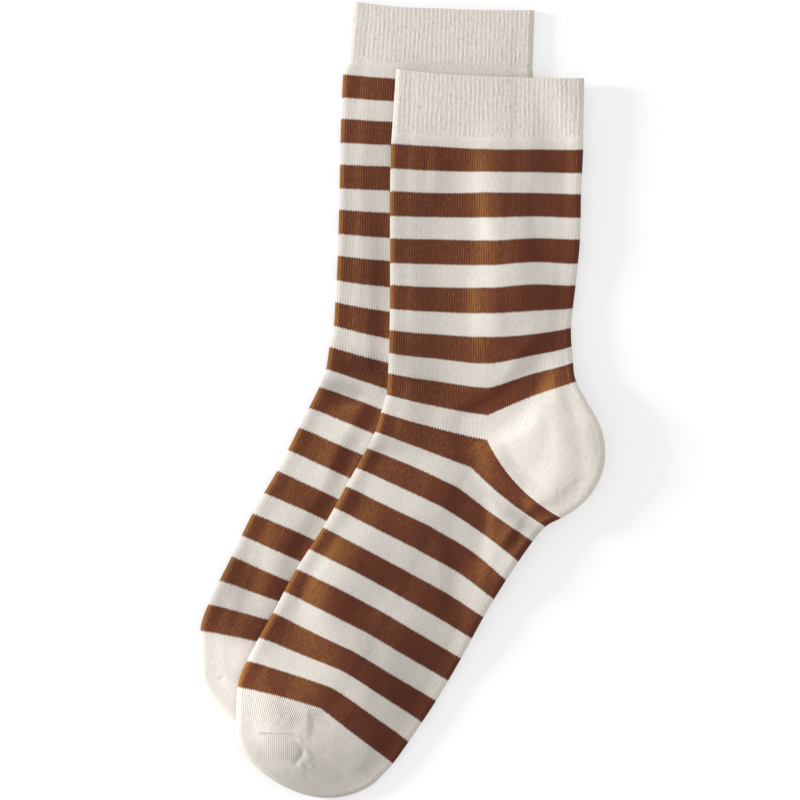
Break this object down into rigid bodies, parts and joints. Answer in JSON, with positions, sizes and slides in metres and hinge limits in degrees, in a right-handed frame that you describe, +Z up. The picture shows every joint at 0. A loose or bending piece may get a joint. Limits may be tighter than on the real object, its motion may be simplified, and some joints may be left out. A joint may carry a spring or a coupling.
{
  "type": "pair of socks",
  "caption": "Pair of knitted crew socks with ribbed cuffs, striped legs and plain heels and toes, laid flat with one partly over the other.",
  "frame": {"origin": "on the table under the middle of the pair's outline", "axes": "+Y from the toes to the cuffs, +X from the insteps to the heels, +Z up from the table"},
  "size_m": [0.1947, 0.3824, 0.0118],
  "materials": {
    "oatmeal_rib": "heathered oatmeal cotton, knitted in one by one rib",
    "striped_jersey": "cotton jersey in even stripes of rust brown and oatmeal",
    "oatmeal_jersey": "heathered oatmeal cotton jersey"
  },
  "bodies": {
    "root": {"upper_cuff": "oatmeal_rib", "upper_tube": "striped_jersey", "upper_heel": "oatmeal_jersey", "upper_toe": "oatmeal_jersey", "lower_cuff": "oatmeal_rib", "lower_tube": "striped_jersey", "lower_heel": "oatmeal_jersey", "lower_toe": "oatmeal_jersey"}
  },
  "joints": []
}
